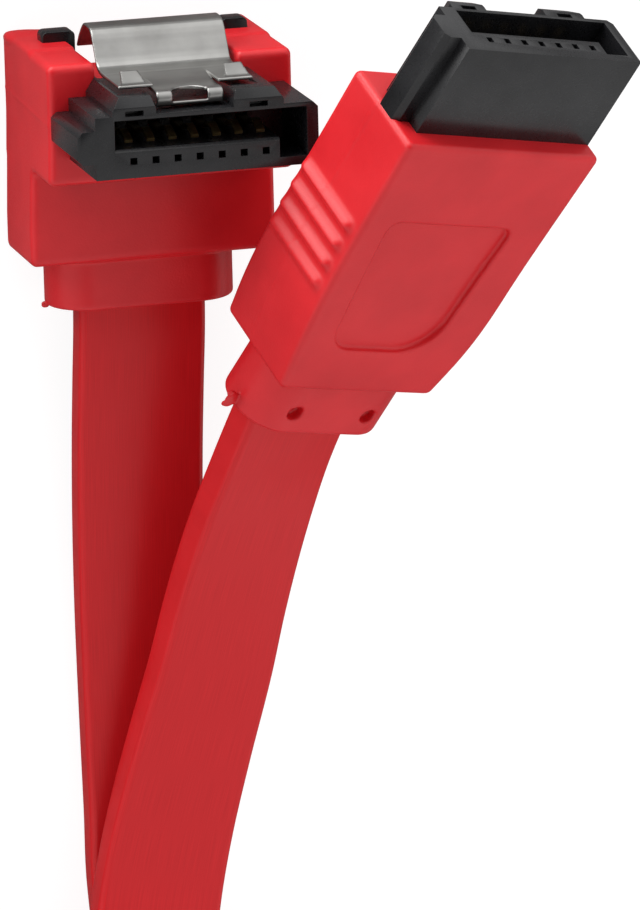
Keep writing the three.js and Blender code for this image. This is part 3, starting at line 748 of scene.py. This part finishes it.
def skin_of(field, low, high, step):
    """The skin of a field as a surface net.

    Each grid cell that the skin passes through gets one point, the mean of the places where the
    skin cuts the cell's edges. Each cut edge gets a quad between the four cells round it. Then
    each point slides along the field's slope until it lies on the skin.
    """
    low = np.array(low, float)
    counts = np.ceil((np.array(high) - low) / step).astype(int) + 1
    axes = [low[k] + step * np.arange(counts[k]) for k in range(3)]
    value = field(*np.meshgrid(*axes, indexing="ij"))
    cells = tuple(counts - 1)
    total = np.zeros(cells + (3,))
    cuts = np.zeros(cells)
    for axis in range(3):
        first, last = [np.take(value, range(k, counts[axis] - 1 + k), axis=axis) for k in (0, 1)]
        cut = (first < 0) != (last < 0)
        share = np.where(cut, first / np.where(cut, first - last, 1), 0)
        others = [(axis + 1) % 3, (axis + 2) % 3]
        for shift_b in (0, 1):
            for shift_c in (0, 1):
                window = [slice(None)] * 3
                window[others[0]] = slice(shift_b, counts[others[0]] - 1 + shift_b)
                window[others[1]] = slice(shift_c, counts[others[1]] - 1 + shift_c)
                window = tuple(window)
                total[..., axis] += share[window]
                total[..., others[0]] += cut[window] * shift_b
                total[..., others[1]] += cut[window] * shift_c
                cuts += cut[window]
    active = cuts > 0
    number = np.full(cells, -1)
    number[active] = np.arange(active.sum())
    place = np.argwhere(active)
    points = low + step * (place + total[active] / cuts[active][:, None])
    quads = []
    for axis in range(3):
        b, c = (axis + 1) % 3, (axis + 2) % 3
        first, last = [np.take(value, range(k, counts[axis] - 1 + k), axis=axis) for k in (0, 1)]
        inside = first < 0
        edges = np.argwhere(inside != (last < 0))
        edges = edges[(edges[:, b] > 0) & (edges[:, c] > 0)]
        edges = edges[(edges[:, b] < cells[b]) & (edges[:, c] < cells[c])]
        corner = []
        for shift_b, shift_c in ((1, 1), (0, 1), (0, 0), (1, 0)):
            cell = edges.copy()
            cell[:, b] -= shift_b
            cell[:, c] -= shift_c
            corner.append(number[tuple(cell.T)])
        quad = np.stack(corner, axis=1)
        outward = inside[tuple(edges.T)]
        quads.append(np.where(outward[:, None], quad, quad[:, ::-1]))
    for _ in range(skin_slides):
        slope = slope_of(field, points)
        steepness = np.maximum((slope**2).sum(axis=1), least_steepness)
        slide = (field(*points.T) / steepness)[:, None] * slope
        points -= np.clip(slide, -step, step)
    return points, np.vstack(quads)


def collar_and_body(body, across, height, along, end, root):
    """The body with its oval collar: the section across, ended square along the cable."""
    collar = met(oval(across, height), slab(along, end, root), collar_end_edge)
    return joined(body, collar, collar_root_fillet)


def angled_field(u, v, w):
    """Right-angle overmould: an L of two rounded blocks, a channel cut between two shoulders,
    an oval collar, a flash ridge along the mould's parting plane and a burr at the collar."""
    depth = slab(w, -mouth_height, -angled_rim)
    upper = met(slab(v, angled_step, angled_top), depth, angled_upper_edge)
    lower_depth = slab(w, -mouth_height, overmould_thickness - mouth_height)
    lower = met(slab(v, angled_bottom, angled_top), lower_depth, angled_lower_edge)
    from_flash = (v - angled_flash_level + angled_flash_slope * w) / angled_flash_half
    flash = angled_flash_height * np.exp(-from_flash**2)
    foot_share = np.clip(-v / angled_foot_reach, 0, 1)
    left = -overmould_half - angled_side_swell - angled_foot_swell * foot_share
    body = joined(upper, lower, angled_inner_fillet)
    body = met(body, slab(u, left, overmould_half) - flash, angled_side_edge)
    channel = np.maximum(slab(u, channel_left, channel_right), channel_floor - v)
    body = less(body, channel, channel_edge)
    axis = overmould_thickness / 2 - mouth_height
    across = u - angled_cable_offset
    across = across - np.clip(across, -angled_collar_spread, angled_collar_spread)
    body = collar_and_body(body, across, w - axis, v, angled_collar_end,
                           angled_bottom + collar_root_overlap)
    body = joined(body, blob(u, v, w, *angled_hump), angled_hump_fillet)
    burr = blob(u, v, w, (*angled_burr_place, axis), angled_burr_radii)
    return joined(body, burr, angled_burr_fillet)


def straight_field(u, v, w):
    """Straight overmould: a slab whose sides close in gently and then faster, with four grip
    ridges a side, a bare sunk panel, an oval collar with two dimples, and a ragged burr."""
    back = -straight_rim - w
    first = np.abs(u) - (overmould_half - straight_taper * back / straight_shoulder)
    near = overmould_half - straight_taper
    fall = (near - straight_tail_half) / (straight_length - straight_shoulder)
    second = (np.abs(u) - near + fall * (back - straight_shoulder)) / math.hypot(1, fall)
    from_middle = (back - straight_swell_centre) / straight_swell_reach
    swell = straight_face_swell + straight_middle_swell * np.exp(-from_middle**2)
    front = straight_face - swell
    rear = straight_face + overmould_thickness
    reach = slab(v, front + grip_front_margin, rear - grip_back_margin)
    window = 0.5 - 0.5 * np.tanh(reach / grip_fade)
    for index in range(grip_count):
        from_crest = (back - grip_first - grip_pitch * index) / grip_half_width
        first = first - grip_proud * np.exp(-from_crest**2) * window
    from_flash = (v - straight_flash_level) / straight_flash_half
    flash = straight_flash_height * np.exp(-from_flash**2)
    sides = eased_max(first, second, straight_bend_ease) - flash
    outline = met(sides, slab(back, -straight_rim_rise, straight_length), straight_end_edge)
    body = met(outline, slab(v, front, rear), straight_face_edge)
    low_corner = np.where(u < panel_offset, panel_left_round, panel_right_round)
    corner = np.where(back < panel_top + panel_length / 2, panel_top_round, low_corner)
    narrowing = (panel_top_half - panel_tail_half) / panel_length
    half = panel_top_half - narrowing * (back - panel_top)
    panel = np.abs(u - panel_offset) - half
    panel = met(panel, slab(back, panel_top, panel_top + panel_length), corner)
    sunk = met(panel, v - front - panel_depth, panel_floor_fillet)
    body = less(body, sunk, panel_lip)
    end = -straight_rim - straight_length - straight_collar_length
    body = collar_and_body(body, u - straight_cable_offset, v - straight_collar_centre, w, end,
                           end + straight_collar_length + collar_root_overlap)
    face = straight_collar_centre - collar_half_thickness
    for side in (-1, 1):
        centre = straight_cable_offset + side * dimple_half_spread
        bore = np.hypot(u - centre, w - end - dimple_from_end) - dimple_radius
        dimple = met(bore, v - face - dimple_depth, dimple_floor_fillet)
        body = less(body, dimple, dimple_lip)
    for centre, radii in straight_burrs:
        body = joined(body, blob(u, v, w, centre, radii), straight_burr_fillet)
    return body


def strip(v, w, line):
    """Distance to a sheet bent along a line of points in the v-w plane."""
    nearest = np.full(np.shape(v), np.inf)
    for (v0, w0), (v1, w1) in zip(line[:-1], line[1:]):
        run = (v1 - v0)**2 + (w1 - w0)**2
        share = np.clip(((v - v0) * (v1 - v0) + (w - w0) * (w1 - w0)) / run, 0, 1)
        away = np.hypot(v - v0 - share * (v1 - v0), w - w0 - share * (w1 - w0))
        nearest = np.minimum(nearest, away)
    return nearest - sheet_thickness / 2


def bent(points):
    """A smooth line through points of height and depth."""
    return smooth_line([(0, v, w) for v, w in points], latch_line_steps)[:, 1:]


def latch_field(u, v, w):
    """Latch spring: the thumb arch, a plate on each rail, a rolled tongue with an arched gap
    between its two prongs, and two raised barbs that narrow towards the back."""
    whole = slab(u, latch_left, latch_right)
    between = slab(u, tongue_left, tongue_right)
    arch = met(strip(v, w, arch_line), whole, latch_edge)
    plate = met(strip(v, w, plate_line), np.maximum(whole, -between - latch_edge), latch_edge)
    tongue = met(strip(v, w, tongue_line), between, latch_edge)
    across = np.abs(u - (tongue_left + tongue_right) / 2)
    round_gap = np.hypot(across, w - prong_gap_depth) - prong_gap_half
    front_gap = np.maximum(across - prong_gap_half, curl_depth - w)
    gap = np.maximum(np.minimum(round_gap, front_gap), prong_gap_floor - v)
    body = joined(arch, joined(plate, less(tongue, gap, latch_edge), latch_edge), latch_edge)
    (low_v, front_w), (high_v, rear_w) = barb_line
    for centre in barb_centres:
        half = barb_half - barb_narrowing * np.clip((front_w - w) / (front_w - rear_w), 0, 1)
        barb = met(strip(v, w, barb_line), np.abs(u - centre) - half, latch_edge)
        body = joined(body, barb, latch_edge)
    return body


def make_latch(material):
    """The latch spring on its own body, shaped in the right-angle connector's axes."""
    points, faces = skin_of(latch_field, *latch_room, latch_step)
    latch = mesh_object("steel_latch", place_angled(points), faces, material, latch_body)
    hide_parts("angled_latch_spring")


def make_overmoulds(material):
    """Both red overmoulds, each shaped in its connector's axes and then set in its place."""
    points, faces = skin_of(angled_field, *angled_room, overmould_step)
    angled = mesh_object("angled_red_body", place_angled(points), faces, material, set_body)
    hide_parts("angled_overmould")
    points, faces = skin_of(straight_field, *straight_room, overmould_step)
    straight = mesh_object("straight_red_body", place_straight(points), faces, material, set_body)
    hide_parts("straight_overmould")


def eased(node, name, width, material, body, to_own=None, rim=None):
    """A carried node with its sharp edges eased by a small bevel.

    The copy's doubles are merged and its flat faces made whole first. Where a rim is given, the
    step that ends short of the overmould is drawn back to meet it.
    """
    mesh = frame["nodes"][node].data.copy()
    mesh.name = name
    work = bmesh.new()
    work.from_mesh(mesh)
    bmesh.ops.remove_doubles(work, verts=work.verts, dist=weld_reach * MM)
    if rim:
        for vertex in work.verts:
            u, v, w = to_own @ vertex.co / MM
            outside = abs(u) > overmould_half - seam_inset
            if outside and abs(w + rim - seam_gap) < seam_reach:
                vertex.co = to_own.inverted() @ (Vector((u, v, -rim - seam_sink)) * MM)
    bmesh.ops.dissolve_limit(work, angle_limit=math.radians(flat_degrees), verts=work.verts,
                             edges=work.edges)
    work.to_mesh(mesh)
    work.free()
    mesh.polygons.foreach_set("use_smooth", np.full(len(mesh.polygons), True))
    mesh.materials.clear()
    mesh.materials.append(material)
    thing = bpy.data.objects.new(name, mesh)
    bpy.context.scene.collection.objects.link(thing)
    bevel = thing.modifiers.new("eased_edges", "BEVEL")
    bevel.width = width * MM
    bevel.segments = 2
    bevel.limit_method = "ANGLE"
    bevel.angle_limit = math.radians(sharp_degrees)
    bevel.harden_normals = True
    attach(thing, body)
    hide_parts(node)


arch_line = bent(arch_points)
tongue_line = bent(tongue_points)
right, up, back = make_camera()
make_stage(right, up, back)

red_ribbon = ribbon_red()
black_tie = tie_black()
cable, cable_line = make_cable(red_ribbon)
strap = make_tie(black_tie)

finishes = {
    "overmould_red": moulded_red(),
    "housing_black": housing_black(),
    "latch_steel": spring_steel(),
    "contact_gold": shade_darkened_gold(),
    "drain_wire": bare_copper(),
    "core_insulation": core_white(),
}
make_overmoulds(finishes["overmould_red"])
angled_axes = own_axes((0, 0, 0), (0, 0, mouth_height))
straight_axes = own_axes(straight_turn, straight_place)
eased("angled_housing", "angled_black_mouth", mouth_bevel, finishes["housing_black"], set_body,
      angled_axes, angled_rim)
eased("straight_housing", "straight_black_mouth", mouth_bevel, finishes["housing_black"], set_body,
      straight_axes, straight_rim)
eased("angled_inner_mould", "angled_inner_black", tab_bevel, finishes["housing_black"], set_body)
make_latch(finishes["latch_steel"])
for part in frame["record"]["subparts"]:
    node = frame["nodes"][part["node"]]
    if part["material_slot"] in finishes:
        node.data.materials.clear()
        node.data.materials.append(finishes[part["material_slot"]])

bpy.context.view_layer.update()
